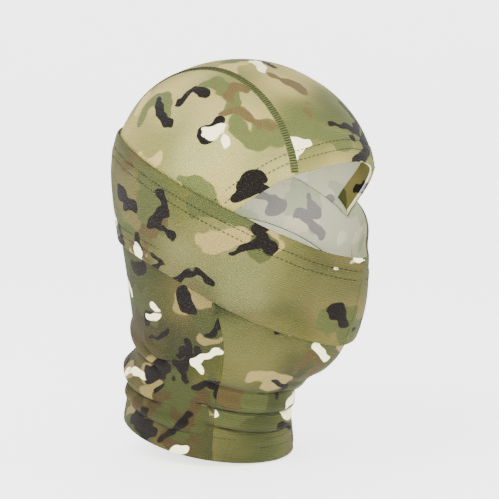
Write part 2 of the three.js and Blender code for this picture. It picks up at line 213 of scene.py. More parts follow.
def form_point(u, z):
    """The point u radians round from the middle of the face at level z."""
    u, z = np.broadcast_arrays(np.asarray(u, float), np.asarray(z, float))
    s, c = np.sin(u), np.cos(u)
    front = c > 0
    q, k = roundness(c, s), np.clip(z / CROWN, 0, 1)
    r_up = np.maximum(1 - k ** q, 0) ** (1 / q)
    f_up = np.hypot(s / (WIDTH / 2), c / np.where(front, FRONT, BACK))
    half, mid = half_share(z) * WIDTH / 2, mid_at(z)
    deep = np.where(front, mid - front_at(z), back_at(z) - mid)
    p = np.where(front, round_front(z), round_back(z))
    f = (np.abs(s / half) ** p + np.abs(c / deep) ** p) ** (1 / p)
    r = 1 / f + folds(u, z) + creases(u, z)
    x_low = r * s
    y_low = mid - r * c - np.where(front, nose(x_low, z), 0)
    up = z >= 0
    return np.stack([np.where(up, r_up * s / f_up, x_low),
                     np.where(up, -r_up * c / f_up, y_low), z], -1)


def crown_level(p):
    x, y, z = p[..., 0], p[..., 1], p[..., 2]
    flat = np.hypot(x, y) + 1e-9
    q = roundness(-y / flat, x / flat)
    r = np.hypot(x / (WIDTH / 2), y / np.where(y < 0, FRONT, BACK))
    return (r ** q + (np.abs(z) / CROWN) ** q) ** (1 / q)


def unit(v):
    return v / (np.linalg.norm(v, axis=-1, keepdims=True) + 1e-12)


def crown_normal(p):
    e = np.eye(3) * 0.02
    return unit(np.stack([crown_level(p + e[i]) - crown_level(p - e[i]) for i in range(3)], -1))


def surf(u, z):
    """Points and outward normals of the form."""
    p = form_point(u, z)
    du = form_point(u + 0.004, z) - form_point(u - 0.004, z)
    dz = form_point(u, np.minimum(z + 0.25, -1e-6)) - form_point(u, np.minimum(z, 0) - 0.25)
    low = unit(np.cross(du, dz))
    return p, np.where((p[..., 2] >= 0)[..., None], crown_normal(p), low)


def crown(x, b):
    """Points and normals over the crown at sideways x and roll angle b, brow 0 to nape pi."""
    x, b = np.broadcast_arrays(np.asarray(x, float), np.asarray(b, float))
    y, z = -FRONT * np.cos(b), CROWN * np.sin(b)
    lo, hi = np.zeros(x.shape), np.full(x.shape, 1.6)
    for _ in range(34):
        t = (lo + hi) / 2
        over = crown_level(np.stack([x, t * y, t * z], -1)) > 1
        lo, hi = np.where(over, lo, t), np.where(over, t, hi)
    p = np.stack([x, lo * y, lo * z], -1)
    return p, crown_normal(p)


def azimuth(p):
    return np.arctan2(p[..., 0], -p[..., 1])


def solve(f, a, b):
    """Where each element of f crosses nought between a and b."""
    lo, hi = np.array(a, float), np.array(b, float)
    rising = f(hi) > f(lo)
    for _ in range(34):
        m = (lo + hi) / 2
        above = (f(m) > 0) == rising
        lo, hi = np.where(above, lo, m), np.where(above, m, hi)
    return (lo + hi) / 2


# ---- print: washes of colour, and crisp shapes along strokes -----------------------------------
DYE = np.array([0.55, 0.54, 0.42])      # the depth of every dye, as a share of the values below
COLOURS = {name: np.array(rgb) * DYE for name, rgb in {
    "tan": (0.66, 0.52, 0.22), "sand": (0.33, 0.245, 0.105), "cream": (1.4, 1.32, 1.05),
    "pale": (0.44, 0.42, 0.2), "sage": (0.215, 0.225, 0.07), "khaki": (0.265, 0.25, 0.088),
    "lime": (0.215, 0.21, 0.05), "olive": (0.135, 0.158, 0.058), "moss": (0.078, 0.096, 0.036),
    "dark_olive": (0.042, 0.054, 0.021), "brown": (0.15, 0.11, 0.048),
    "earth": (0.074, 0.06, 0.031), "shade": (0.032, 0.034, 0.016), "bark": (0.009, 0.0065, 0.006),
}.items()}
DARK, CREAM, LEAF, EARTH, SAND = "dark", "cream", "leaf", "earth", "sand"
# how far each panel's print is darkened: partly the print's own tone, partly painted shade on the
# band, chin and neck below the lit crown
PANEL_TONE_AND_SHADE = {"side": 0.98, "centre": 0.95, "band": 0.58, "neck": 0.38, "chin": 0.53}
SHAPE_NAMES = (DARK, CREAM, LEAF, EARTH, SAND)
WAVES = np.random.default_rng(7).normal(size=(18, 3))
PHASES = np.random.default_rng(8).uniform(0, 2 * math.pi, (3, 18))


def wobble(p, size, reach):
    """A smooth wandering offset that makes stroke outlines organic."""
    out = np.zeros(p.shape)
    for axis in range(3):
        waves = WAVES[axis::3]
        angle = p @ (waves.T * (2 * math.pi / reach)) * 0.55 + PHASES[axis][: len(waves)]
        out[..., axis] = np.sin(angle).mean(-1) * size * 1.7
    return out


def stroke_distance(p, line):
    pts = form_point(np.array([a * DEG for a, _ in line]), np.array([b for _, b in line], float))
    best = np.full(p.shape[:-1], 1e6)
    for a, b in zip(pts[:-1], pts[1:]):
        d = b - a
        t = np.clip(((p - a) @ d) / (d @ d), 0, 1)[..., None]
        best = np.minimum(best, np.linalg.norm(p - a - t * d, axis=-1))
    return best


GIRTH = {LEAF: 2.0, SAND: 1.5, CREAM: 0.75}


def scatter(seed, count, centre, spread):
    """Seeded random strokes over a panel: half width in millimetres, then the line followed."""
    rng = np.random.default_rng(seed)
    found = {name: [] for name in SHAPE_NAMES}
    for i in range(count):
        u, z = centre + (rng.random(2) - 0.5) * spread
        line = [(u, z)]
        for _ in range(rng.integers(1, 4)):
            line.append((line[-1][0] + rng.uniform(-16, 16), line[-1][1] + rng.uniform(-12, 12)))
        name = (DARK, LEAF, EARTH, SAND, CREAM, LEAF, DARK)[i % 7]
        found[name].append((rng.uniform(2.4, 5.2) * GIRTH.get(name, 1), line))
    return found


WASH_ACROSS, WASH_DOWN, WASH_REACH = 22, 18, 13.0  # spacing in degrees and mm, and softness in mm


def washes(seed, low, high, names):
    """Soft ground colours on a loose random grid over a panel: (degrees, level, colour)."""
    rng = np.random.default_rng(seed)
    return [(u + rng.uniform(-8, 8), z + rng.uniform(-7, 7), rng.choice(names.split()))
            for u in np.arange(low[0], high[0], WASH_ACROSS)
            for z in np.arange(low[1], high[1], WASH_DOWN)]


# The whole layout is drawn at random: only the palette and the size of the shapes are chosen.
SHAPES = {
    "side": scatter(11, 30, np.array([-105, 25]), np.array([150, 90])),
    "centre": scatter(12, 52, np.array([70, 45]), np.array([260, 75])),
    "band": scatter(13, 56, np.array([-90, -40]), np.array([190, 135])),
    "neck": scatter(14, 72, np.array([-110, -125]), np.array([150, 140])),
    "chin": scatter(15, 34, np.array([0, -140]), np.array([100, 100])),
}
WASH = {
    "side": washes(21, (-175, -20), (-20, 75), "tan tan pale pale khaki sage olive"),
    "centre": washes(22, (-70, 5), (200, 85), "tan khaki sage olive olive moss"),
    "band": washes(23, (-185, -110), (5, 30), "sand sage khaki pale lime moss olive dark_olive"),
    "neck": washes(24, (-185, -195), (-35, -55), "sand olive lime moss moss earth dark_olive"),
    "chin": washes(25, (-55, -195), (55, -80), "khaki khaki olive moss dark_olive earth"),
}


def print_fields(p, panel, mirror):
    """The ground colour, darkened per panel (print tone and painted shade), and the distance to
    each kind of shape at the points p.
    """
    q = p * np.array([-1, 1, 1]) if mirror else p
    shift = wobble(q + (37 if mirror else 0), 3.4, 26) + wobble(q * 1.0 + 11, 1.3, 9)
    w = q + shift + (np.array([0, 5, 7]) if mirror else 0)
    fields = {}
    for name in SHAPE_NAMES:
        best = np.full(q.shape[:-1], 60.0)
        for half, line in SHAPES[panel][name]:
            best = np.minimum(best, stroke_distance(w, line) - half)
        fields[name] = best
    marks = WASH[panel]
    at = form_point(np.array([m[0] * DEG for m in marks]), np.array([m[1] for m in marks], float))
    tint = np.array([COLOURS[m[2]] for m in marks])
    soft = q + wobble(q, 6, 34)
    d2 = ((soft[..., None, :] - at) ** 2).sum(-1)
    weight = np.exp(-d2 / (2 * WASH_REACH ** 2)) + 1e-9 / (1 + d2)
    ground = (weight[..., None] * tint).sum(-2)
    # the ground colour takes the panel's darkening, partly print tone and partly painted shade
    fields["ground"] = PANEL_TONE_AND_SHADE[panel] * ground / weight.sum(-1)[..., None]
    fields["depth"] = np.full(q.shape[:-1], PANEL_TONE_AND_SHADE[panel])
    return fields


# ---- materials ---------------------------------------------------------------------------------
def shader(name, roughness, sheen):
    material = bpy.data.materials.new(name)
    material.use_nodes = True
    tree = material.node_tree
    bsdf = tree.nodes["Principled BSDF"]
    bsdf.inputs["Roughness"].default_value = roughness
    bsdf.inputs["Sheen Weight"].default_value = sheen
    bsdf.inputs["Sheen Roughness"].default_value = 0.45
    bsdf.inputs["Specular IOR Level"].default_value = 0.12
    return material, tree, bsdf


def maths(tree, kind, a, b=None, clamp=False):
    node = tree.nodes.new("ShaderNodeMath")
    node.operation, node.use_clamp = kind, clamp
    for socket, value in zip(node.inputs, (a, b)):
        if isinstance(value, (int, float)):
            socket.default_value = value
        elif value is not None:
            tree.links.new(value, socket)
    return node.outputs[0]


def attribute(tree, name, output="Fac"):
    node = tree.nodes.new("ShaderNodeAttribute")
    node.attribute_name = name
    return node.outputs[output]


def mix(tree, factor, a, b, kind="MIX"):
    node = tree.nodes.new("ShaderNodeMix")
    node.data_type, node.blend_type = "RGBA", kind
    for socket, value in ((node.inputs["Factor"], factor), (node.inputs[6], a),
                          (node.inputs[7], b)):
        if isinstance(value, (int, float)):
            socket.default_value = value
        elif isinstance(value, (tuple, list, np.ndarray)):
            socket.default_value = (*value, 1)
        else:
            tree.links.new(value, socket)
    return node.outputs[2]


def noise(tree, scale, detail=2.0):
    place = tree.nodes.new("ShaderNodeTexCoord")
    node = tree.nodes.new("ShaderNodeTexNoise")
    node.inputs["Scale"].default_value = scale
    node.inputs["Detail"].default_value = detail
    tree.links.new(place.outputs["Object"], node.inputs["Vector"])
    return node.outputs["Fac"]


COURSE, WALE = 1.5, 1.25        # height of a row of loops, width of a column


def knit_height(tree):
    """Rows and columns of knitted loops, from the cloth's own coordinates in millimetres."""
    split = tree.nodes.new("ShaderNodeSeparateXYZ")
    tree.links.new(attribute(tree, "knit", "Vector"), split.inputs[0])
    rows = maths(tree, "SINE", maths(tree, "MULTIPLY", split.outputs[1], 2 * math.pi / COURSE))
    bow = maths(tree, "MULTIPLY", rows, 0.35)
    across = maths(tree, "ADD", maths(tree, "MULTIPLY", split.outputs[0], 2 * math.pi / WALE), bow)
    columns = maths(tree, "SINE", across)
    return maths(tree, "ADD", maths(tree, "MULTIPLY", rows, 0.7),
                 maths(tree, "MULTIPLY", columns, 0.3))


def grey_of(tree, value):
    grey = tree.nodes.new("ShaderNodeCombineColor")
    for socket in grey.inputs:
        tree.links.new(value, socket)
    return grey.outputs[0]


def knit_material(name, tints, pale):
    material, tree, bsdf = shader(name, 0.92, 0.02)
    colour = attribute(tree, "ground", "Color")
    if pale is not None:
        colour = mix(tree, 0.8, colour, pale)
    # the panel's darkening, partly print tone and partly painted shade
    deep = grey_of(tree, attribute(tree, "depth"))
    for field, edge in (
            (SAND, 1.0), (LEAF, 0.9), (EARTH, 0.9), (DARK, 0.35), (CREAM, 0.4)):
        inside = maths(tree, "SUBTRACT", 0.5, maths(tree, "DIVIDE", attribute(tree, field), edge),
                       clamp=True)
        tint = tints[field]
        # shapes on the face take the same panel darkening, partly painted shade
        if pale is None and field in (LEAF, EARTH, SAND):
            tint = mix(tree, 1.0, deep, tint, "MULTIPLY")
        colour = mix(tree, inside, colour, tint)
    height = knit_height(tree)
    mottle = maths(tree, "ADD", maths(tree, "MULTIPLY", noise(tree, 900), 0.22), 0.86)
    # painted shade between the knit loops: the colour is darker where the loops sink, over random
    # mottle
    loop_shade_and_mottle = maths(tree, "ADD", maths(tree, "MULTIPLY", height, 0.19), mottle)
    colour = mix(tree, 1.0, colour, grey_of(tree, loop_shade_and_mottle), "MULTIPLY")
    tree.links.new(colour, bsdf.inputs["Base Color"])
    bump = tree.nodes.new("ShaderNodeBump")
    bump.inputs["Strength"].default_value = 0.8
    bump.inputs["Distance"].default_value = 0.25 * MM
    tree.links.new(height, bump.inputs["Height"])
    tree.links.new(bump.outputs[0], bsdf.inputs["Normal"])
    return material


FACE = knit_material("printed_knit", {
    LEAF: COLOURS["olive"], EARTH: COLOURS["brown"], DARK: COLOURS["bark"],
    SAND: COLOURS["tan"] * 0.95,
    CREAM: COLOURS["cream"]}, None)
REVERSE = knit_material("reverse_knit", {
    LEAF: np.array([0.6, 0.64, 0.45]), EARTH: np.array([0.92, 0.84, 0.62]),
    DARK: np.array([0.33, 0.31, 0.31]), CREAM: np.array([0.97, 0.95, 0.85]),
    SAND: np.array([0.97, 0.93, 0.74])},
    np.array([0.95, 0.95, 0.72]))


def thread_material(name, tint):
    material, tree, bsdf = shader(name, 0.75, 0.02)
    shade = mix(tree, noise(tree, 2600, 3), tint * 0.55, tint * 1.25)
    tree.links.new(shade, bsdf.inputs["Base Color"])
    bump = tree.nodes.new("ShaderNodeBump")
    bump.inputs["Strength"].default_value = 0.5
    bump.inputs["Distance"].default_value = 0.1 * MM
    tree.links.new(noise(tree, 4200, 1), bump.inputs["Height"])
    tree.links.new(bump.outputs[0], bsdf.inputs["Normal"])
    return material


# dark olive thread, made darker still as painted shade for the grooves that the rows of stitches
# sink into
THREAD_WITH_GROOVE_SHADE = thread_material("olive_thread_with_groove_shade", COLOURS["shade"] * 0.7)
LADDER = thread_material("flatlock_thread", COLOURS["shade"] * 0.9)
LADDER_BED = thread_material("flatlock_bed", COLOURS["olive"] * 0.9)


# ---- meshes ------------------------------------------------------------------------------------
def face_outwards(mesh):
    work = bmesh.new()
    work.from_mesh(mesh)
    bmesh.ops.recalc_face_normals(work, faces=work.faces)
    work.to_mesh(mesh)
    work.free()


def add_object(name, points, faces, materials, face_slots=None, fields=None, turn=False):
    mesh = bpy.data.meshes.new(name)
    moved = (points + np.array([0, 0, -CROWN])) * MM
    mesh.from_pydata(moved.tolist(), [], [tuple(f) for f in faces])
    if turn:
        face_outwards(mesh)
    for material in materials:
        mesh.materials.append(material)
    mesh.polygons.foreach_set("use_smooth", [True] * len(mesh.polygons))
    if face_slots is not None:
        mesh.polygons.foreach_set("material_index", face_slots)
    for key, values in (fields or {}).items():
        kind = "FLOAT" if values.ndim == 1 else "FLOAT_VECTOR" if key == "knit" else "FLOAT_COLOR"
        layer = mesh.attributes.new(key, kind, "POINT")
        if kind == "FLOAT_COLOR":
            values = np.hstack([values, np.ones((len(values), 1))])
        slot = {"FLOAT": "value", "FLOAT_VECTOR": "vector", "FLOAT_COLOR": "color"}[kind]
        layer.data.foreach_set(slot, values.astype(np.float32).ravel())
    mesh.update()
    piece = bpy.data.objects.new(name, mesh)
    bpy.context.scene.collection.objects.link(piece)
    return piece


def rim(edge, inner, normal, outer, back):
    """Points half way through the cloth, pushed out past its edge, so that the edge is rounded."""
    out = unit(edge - inner)
    out = unit(out - (out * normal).sum(-1, keepdims=True) * normal)
    thick = np.asarray(outer - back)[..., None]
    return edge + normal * np.asarray((outer + back) / 2)[..., None] + out * thick * 0.5


def panel_fields(p, panel, mirror, halves=False):
    """The print over a grid of points, and the cloth's own coordinates in millimetres."""
    def lengths(axis):
        steps = np.linalg.norm(np.diff(p, axis=axis), axis=-1).cumsum(axis)
        run = np.concatenate([np.zeros_like(np.take(steps, [0], axis)), steps], axis)
        return run - np.take(run, [run.shape[axis] // 2], axis)
    if halves:                      # a ring printed on both sides alike
        one, two = print_fields(p, panel, False), print_fields(p, panel, True)
        left = p[..., 0] > 0
        fields = {k: np.where(left if v.ndim == 2 else left[..., None], two[k], v)
                  for k, v in one.items()}
    else:
        fields = print_fields(p, panel, mirror)
    fields["knit"] = np.stack([lengths(0), lengths(1), np.zeros(p.shape[:2])], -1)
    return fields


def cloth(name, p, n, outer, inner, panel, mirror=False, turned_in=False, halves=False):
    """A sheet of knit over the grid p, with normals n, between two distances off the form."""
    outer = np.broadcast_to(np.asarray(outer, float), p.shape[:2])
    inner = np.broadcast_to(np.asarray(inner, float), p.shape[:2])
    top, under = p + n * outer[..., None], p + n * inner[..., None]
    rows, cols = p.shape[:2]
    fields = panel_fields(p, panel, mirror, halves)
    index = np.arange(rows * cols).reshape(rows, cols)
    a, b, c, d = index[:-1, :-1], index[1:, :-1], index[1:, 1:], index[:-1, 1:]
    quads = np.stack([a, b, c, d], -1).reshape(-1, 4)
    size = rows * cols
    faces = [quads, quads[:, ::-1] + size]
    slots = [np.full(len(quads), int(turned_in)), np.full(len(quads), int(not turned_in))]
    points = [top.reshape(-1, 3), under.reshape(-1, 3)]
    source = [np.arange(size), np.arange(size)]
    total, edge_slot = 2 * size, int(turned_in)
    # the outline, once round the grid, with the cells one step in from it
    line = np.concatenate([index[:-1, 0], index[-1, :-1], index[:0:-1, -1], index[0, :0:-1]])
    next_in = np.clip(np.arange(rows), 1, rows - 2)[:, None] * cols \
        + np.clip(np.arange(cols), 1, cols - 2)[None]
    flat_p, flat_n = p.reshape(-1, 3), n.reshape(-1, 3)
    middle = rim(flat_p[line], flat_p[next_in.ravel()[line]], flat_n[line],
                 outer.ravel()[line], inner.ravel()[line])
    points.append(middle)
    source.append(line)
    ring = np.arange(len(line)) + total
    line2, ring2 = np.roll(line, -1), np.roll(ring, -1)
    faces += [np.stack([line2, line, ring, ring2], -1),
              np.stack([ring2, ring, line + size, line2 + size], -1)]
    slots += [np.full(len(line), edge_slot)] * 2
    source = np.concatenate(source)
    flat = {k: v.reshape(size, -1)[source] for k, v in fields.items()}
    flat = {k: v[:, 0] if v.shape[1] == 1 else v for k, v in flat.items()}
    points, faces = np.concatenate(points), np.concatenate(faces)
    volume = np.einsum("ij,ij->i", points[faces[:, 0]],
                       np.cross(points[faces[:, 1]], points[faces[:, 2]])).sum()
    if volume < 0:
        faces = faces[:, ::-1]
    return add_object(name, points, faces.tolist(), [FACE, REVERSE], np.concatenate(slots), flat)


# ---- thread ------------------------------------------------------------------------------------
def stitches(name, p, n, high, length, gap, half, material=THREAD_WITH_GROOVE_SHADE, lean=0.0):
    """A row of separate stitches along p: each a short rounded bar that dips at its ends."""
    step = np.linalg.norm(np.diff(p, axis=0), axis=1)
    run = np.concatenate([[0], step.cumsum()])
    count = int(run[-1] / (length + gap))
    starts = (np.arange(count) + 0.5) * (run[-1] / count)
    sides, rings = 6, np.array([-1, -0.72, -0.25, 0.25, 0.72, 1])
    at = starts[:, None] + rings[None] * length / 2
    at = np.clip(at, 0, run[-1])
    def along(v):
        return np.stack([np.interp(at, run, v[:, k]) for k in range(3)], -1)
    centre, normal = along(p), unit(along(n))
    tangent = unit(np.stack([np.interp(at, run, np.gradient(p[:, k], run)) for k in range(3)], -1))
    side = unit(np.cross(normal, tangent))
    thick = half * np.sqrt(np.clip(1.04 - rings ** 2, 0.05, 1))
    lift = high + half * 0.9 - half * 1.5 * rings ** 4
    centre = centre + normal * lift[None, :, None] + side * (lean * rings)[None, :, None]
    angle = np.arange(sides) * 2 * math.pi / sides
    ring = (centre[:, :, None]
            + side[:, :, None] * (thick[:, None] * np.cos(angle))[None, ..., None]
            + normal[:, :, None] * (thick[:, None] * np.sin(angle))[None, ..., None])
    return bars(name, ring, material)


def bars(name, ring, material, fields=None):
    """Closed bars from (bar, ring, side, xyz) points."""
    count, rings, sides, _ = ring.shape
    base = (np.arange(count) * rings * sides)[:, None, None]
    i, k = np.meshgrid(np.arange(rings - 1), np.arange(sides), indexing="ij")
    k2 = (k + 1) % sides
    here, on = i * sides, (i + 1) * sides
    quads = np.stack([here + k, here + k2, on + k2, on + k], -1)
    faces = (quads.reshape(1, -1, 4) + base).reshape(-1, 4)[:, ::-1].tolist()
    for b in base.ravel():
        faces.append([b + s for s in range(sides)])
        faces.append([b + (rings - 1) * sides + s for s in range(sides)][::-1])
    return add_object(name, ring.reshape(-1, 3), faces, [material], None, fields, True)


def ladder(name, p, n, high, half, pitch):
    """Flatlock: bars of thread laid across a joint, over a darker bed."""
    step = np.linalg.norm(np.diff(p, axis=0), axis=1)
    run = np.concatenate([[0], step.cumsum()])
    count = int(run[-1] / pitch)
    s = (np.arange(count) + 0.5) * run[-1] / count
    line = np.stack([np.interp(s, run, p[:, k]) for k in range(3)], -1)
    normal = unit(np.stack([np.interp(s, run, n[:, k]) for k in range(3)], -1))
    tangent = unit(np.gradient(line, axis=0))
    side = unit(np.cross(normal, tangent))
    rings = np.array([-1, -0.86, -0.5, 0, 0.5, 0.86, 1])
    swell = np.array([0.35, 0.8, 1, 1, 1, 0.8, 0.35])
    thick = 0.21 * pitch * swell
    lift = high + 0.5 * swell
    slant = 0.32 * rings * (1 - 2 * (np.arange(count) % 2))[:, None] * 0.5
    centre = (line[:, None] + side[:, None] * (half * rings)[None, :, None]
              + normal[:, None] * lift[None, :, None] + tangent[:, None] * slant[..., None])
    angle = np.arange(6) * math.pi / 3
    ring = (centre[:, :, None]
            + tangent[:, None, None] * (thick[:, None] * np.cos(angle))[None, ..., None]
            + normal[:, None, None] * (0.8 * thick[:, None] * np.sin(angle))[None, ..., None])
    return bars(name, ring[:, :, ::-1], LADDER)


def ridge(name, p, n, half, foot, top, panel, mirror=False):
    """A seam's raised allowance: a low roll of the same cloth along the line p."""
    tangent = unit(np.gradient(p, axis=0))
    side = unit(np.cross(n, tangent))
    angle = np.linspace(0, math.pi, 9)
    across, rise = np.cos(angle) * half, foot + (top - foot) * np.sin(angle) ** 0.7
    points = p[:, None] + side[:, None] * across[None, :, None] + n[:, None] * rise[None, :, None]
    under = (p[:, None] + side[:, None] * across[None, ::-1, None] * 0.96
             + n[:, None] * (foot - 0.1))
    ring = np.concatenate([points, under[:, 1:-1]], 1)
    fields = panel_fields(ring - n[:, None] * foot, panel, mirror)
    fields = {k: v.reshape(ring.shape[0] * ring.shape[1], -1) for k, v in fields.items()}
    fields = {k: v[:, 0] if v.shape[1] == 1 else v for k, v in fields.items()}
    return bars(name, ring[None], FACE, fields)


def ribbon(name, p, n, half, foot, top, material):
    """A low rounded strip along the line p."""
    tangent = unit(np.gradient(p, axis=0))
    side = unit(np.cross(n, tangent))
    a = np.linspace(0, math.pi, 7)
    profile = [(math.cos(t) * half, foot + (top - foot) * math.sin(t) ** 0.7) for t in a]
    profile += [(-half * 0.5, foot), (half * 0.5, foot)]
    ring = np.stack([p + side * x + n * y for x, y in profile], 1)[None]
    return bars(name, ring, material)


# ---- panels of the crown -----------------------------------------------------------------------
def clear_of(edge, p):
    return p[..., 2] - edge(azimuth(p))


def roll_front(x):
    x = np.asarray(x, float)
    return solve(lambda b: clear_of(brow, crown(x, b)[0]), x * 0 + 0.01, x * 0 + 60 * DEG)


def roll_back(x):
    x = np.asarray(x, float)
    return solve(lambda b: clear_of(band_top, crown(x, b)[0]) + TUCK,
                 x * 0 + 120 * DEG, x * 0 + 179 * DEG)


def seam_place(s, extra):
    x = seam_half(np.asarray(s, float)) + extra
    return crown(x, lerp(roll_front(x), roll_back(x), s))


def grid(across, down):
    return np.meshgrid(np.linspace(0, 1, across), np.linspace(0, 1, down), indexing="ij")


def flipped(p, n):
    turn = np.array([-1, 1, 1])
    return p * turn, n * turn


def in_from(edge, p):
    """How far the points p lie above an edge, square to it."""
    u = azimuth(p)
    reach = np.maximum(np.hypot(p[..., 0], p[..., 1]), 40)
    slope = (edge(u + 0.01) - edge(u - 0.01)) / 0.02 / reach
    return (p[..., 2] - edge(u)) / np.hypot(1, slope)


def inset(edge, u, d, inward=1):
    at = form_point(u, edge(u))
    reach = np.maximum(np.hypot(at[..., 0], at[..., 1]), 40)
    slope = (edge(u + 0.01) - edge(u - 0.01)) / 0.02 / reach
    square = np.hypot(1, slope)
    return surf(u - inward * d * slope / square / reach, edge(u) + inward * d / square)


FOLD_OVER, GROOVE, GROOVE_HALF = 0.5, 0.6, 0.8
UNDER = (-0.35, -1.5)                             # outer and inner face of cloth turned under


def turned(d, deep=HEM, rows=ROWS_AT):
    """Extra height of cloth turned under along an edge, pinched where its rows of stitches run."""
    rise = FOLD_OVER * smooth((deep - d) / 2.4) * smooth(d / 0.8 + 0.4)
    return rise - sum(GROOVE * gauss(d - at, GROOVE_HALF) for at in rows)


corner_u = float(solve(lambda u: brow(u) - band_top(u) + TUCK, 45 * DEG, 64 * DEG))
NAPE_FROM = 0.8


def tilt(z):
    return np.arcsin(np.clip(z / CROWN, -1, 1))


def on_seam(s):
    p, _ = seam_place(s, SEAM_GAP / 2)
    return np.stack([azimuth(p), tilt(p[..., 2])], -1)


def side_place(i, j):
    """A smooth patch between the crown seam, the nape, the band and the brow."""
    def front(t):
        u = lerp(on_seam(0.0)[0], corner_u, t)
        return np.stack([u, tilt(brow(u))], -1)

    def foot(t):
        u = lerp(corner_u, on_seam(1.0)[0], t)
        return np.stack([u, tilt(band_top(u) - TUCK)], -1)
    top, nape = on_seam(NAPE_FROM * i), on_seam(lerp(NAPE_FROM, 1, j))
    a, b, c, d = on_seam(0.0), foot(0.0), on_seam(NAPE_FROM), foot(1.0)
    i, j = i[..., None], j[..., None]
    at = ((1 - j) * top + j * foot(i[..., 0]) + (1 - i) * front(j[..., 0]) + i * nape
          - (1 - i) * ((1 - j) * a + j * b) - i * ((1 - j) * c + j * d))
    return surf(at[..., 0], CROWN * np.sin(at[..., 1]))


i, j = grid(70, 185)
x = (2 * i - 1) * (seam_half(j) - SEAM_GAP / 2)
p, n = crown(x, lerp(roll_front(x), roll_back(x), j))
high = CLOTH + turned(in_from(brow, p))
crown_center = cloth("crown_center", p, n, high, CLOTH_IN, "centre")
pieces = {"crown_center": crown_center}

i, j = grid(165, 78)
p, n = side_place(i, j)
high = CLOTH + turned(in_from(brow, p))
for word, side in (("right", -1), ("left", 1)):
    at, out = (p, n) if side > 0 else flipped(p, n)
    pieces[f"crown_side_{word}"] = cloth(f"crown_side_{word}", at, out, high, CLOTH_IN, "side",
                                         mirror=side > 0)

# flatlock seams, from the brow's edge to the band
edge_from = float(solve(lambda t: clear_of(brow, seam_place(t, 0)[0]) - 1.2,
                        np.array(0.0), np.array(0.3)))
edge_to = float(solve(lambda t: clear_of(band_top, seam_place(t, 0)[0]) - 1.5,
                      np.array(0.6), np.array(1.0)))
p, n = seam_place(np.linspace(edge_from, edge_to, 240), 0)
p = p + n * (FOLD_OVER * smooth((HEM - in_from(brow, p)) / 2.4))[:, None]
FLATLOCK_HALF, FLATLOCK_PITCH = 2.5, 1.75
for word, side in (("right", -1), ("left", 1)):
    at, out = (p, n) if side > 0 else flipped(p, n)
    bed = ribbon(f"flatlock_bed_{word}", at, out, 2.6, CLOTH - 0.1, CLOTH + 0.4, LADDER_BED)
    bars_on = ladder(f"flatlock_{word}", at, out, CLOTH, FLATLOCK_HALF, FLATLOCK_PITCH)
    pieces[f"flatlock_bed_{word}"], pieces[f"flatlock_{word}"] = bed, bars_on

# ---- brow --------------------------------------------------------------------------------------
def brow_place(t, d):
    return inset(brow, lerp(-1, 1, t) * (corner_u - 1.5 * DEG), d)


i, j = grid(130, 14)
p, n = brow_place(i, lerp(0.8, HEM, j))
pieces["brow_turned_hem"] = cloth("brow_turned_hem", p, n, *UNDER, "side", turned_in=True,
                                  halves=True)
STITCH = dict(length=2.5, gap=0.7, half=0.29)
for k, word in enumerate(("outer", "inner")):
    p, n = brow_place(np.linspace(0.01, 0.99, 400), ROWS_AT[k])
    pieces[f"brow_row_{word}"] = stitches(f"brow_row_{word}", p, n, CLOTH + FOLD_OVER - GROOVE,
                                          **STITCH)

# ---- band: the strap's two halves and the mask are one ring of cloth, joined at the nose -------
def eased(p, n):
    u = np.abs(azimuth(p))
    down = (band_top(u) - p[..., 2]) / (band_top(u) - band_low(u))
    off = MASK_EASE * smooth((SPLIT_TOP * DEG - u) / 0.6) * smooth(down)
    return p + n * off[..., None], n


def band_place(u, j):
    return eased(*surf(u, lerp(band_top(u), band_low(u), j)))


def band_down(p):
    return -in_from(band_top, p)


i, j = grid(430, 62)
turn = 0.7 / 112                                  # half of the gap at the middle of the face
p, n = band_place(lerp(turn, 2 * math.pi - turn, i), j)
down, back = band_down(p), smooth((np.abs(azimuth(p)) / DEG - 84) / 12)
up = in_from(band_low, p)
high = BAND_OUT + turned(down) + back * turned(up) + (1 - back) * 0.25 * smooth((6 - up) / 2)
ripple = 0.55 * np.sin(i * 2 * math.pi * 33 + 3 * np.sin(j * 5)) * gauss(down - 11, 5) * back * 0.5
pieces["band"] = cloth("band", p, n, high + ripple, BAND_IN + 0.1 + ripple, "band", halves=True)
for k, word in enumerate(("upper", "lower")):
    u = np.linspace(0.035, 2 * math.pi - 0.035, 1400)
    p, n = eased(*inset(band_top, u, ROWS_AT[k], -1))
    pieces[f"band_top_row_{word}"] = stitches(f"band_top_row_{word}", p, n,
                                              BAND_OUT + FOLD_OVER - GROOVE, **STITCH)
    u = np.linspace(98 * DEG, 262 * DEG, 800)
    p, n = eased(*inset(band_low, u, ROWS_AT[1 - k], 1))
    pieces[f"band_low_row_{word}"] = stitches(f"band_low_row_{word}", p, n,
                                              BAND_OUT + FOLD_OVER - GROOVE, **STITCH)
p, n = band_place(np.zeros(220), np.linspace(0.012, 0.988, 220))
p[:, 0], n[:, 0] = 0, 0
pieces["mask_seam"] = ridge("mask_seam", p, unit(n), 1.7, BAND_OUT - 0.3, BAND_OUT + 0.75, "band")

# ---- neck --------------------------------------------------------------------------------------
def neck_seam(z):
    return lerp(SEAM_CHEEK, SEAM_THROAT, smooth((-85 - z) / 65)) * DEG


def chin_row(u, v):
    tuck = lerp(CHIN_TUCK, TUCK, smooth(np.abs(u) / 1.6))
    return lerp(band_low(u) + tuck, hem_at(u), v)


def seam_u(v):
    return neck_seam(lerp(THROAT / 2, HEM_FRONT, v))


HEM_ROWS = (ROWS_AT[0] + 2, ROWS_AT[1] + 2)


def neck_height(p):
    return CLOTH + turned(p[..., 2] - hem_at(azimuth(p)), HEM + 1, HEM_ROWS)


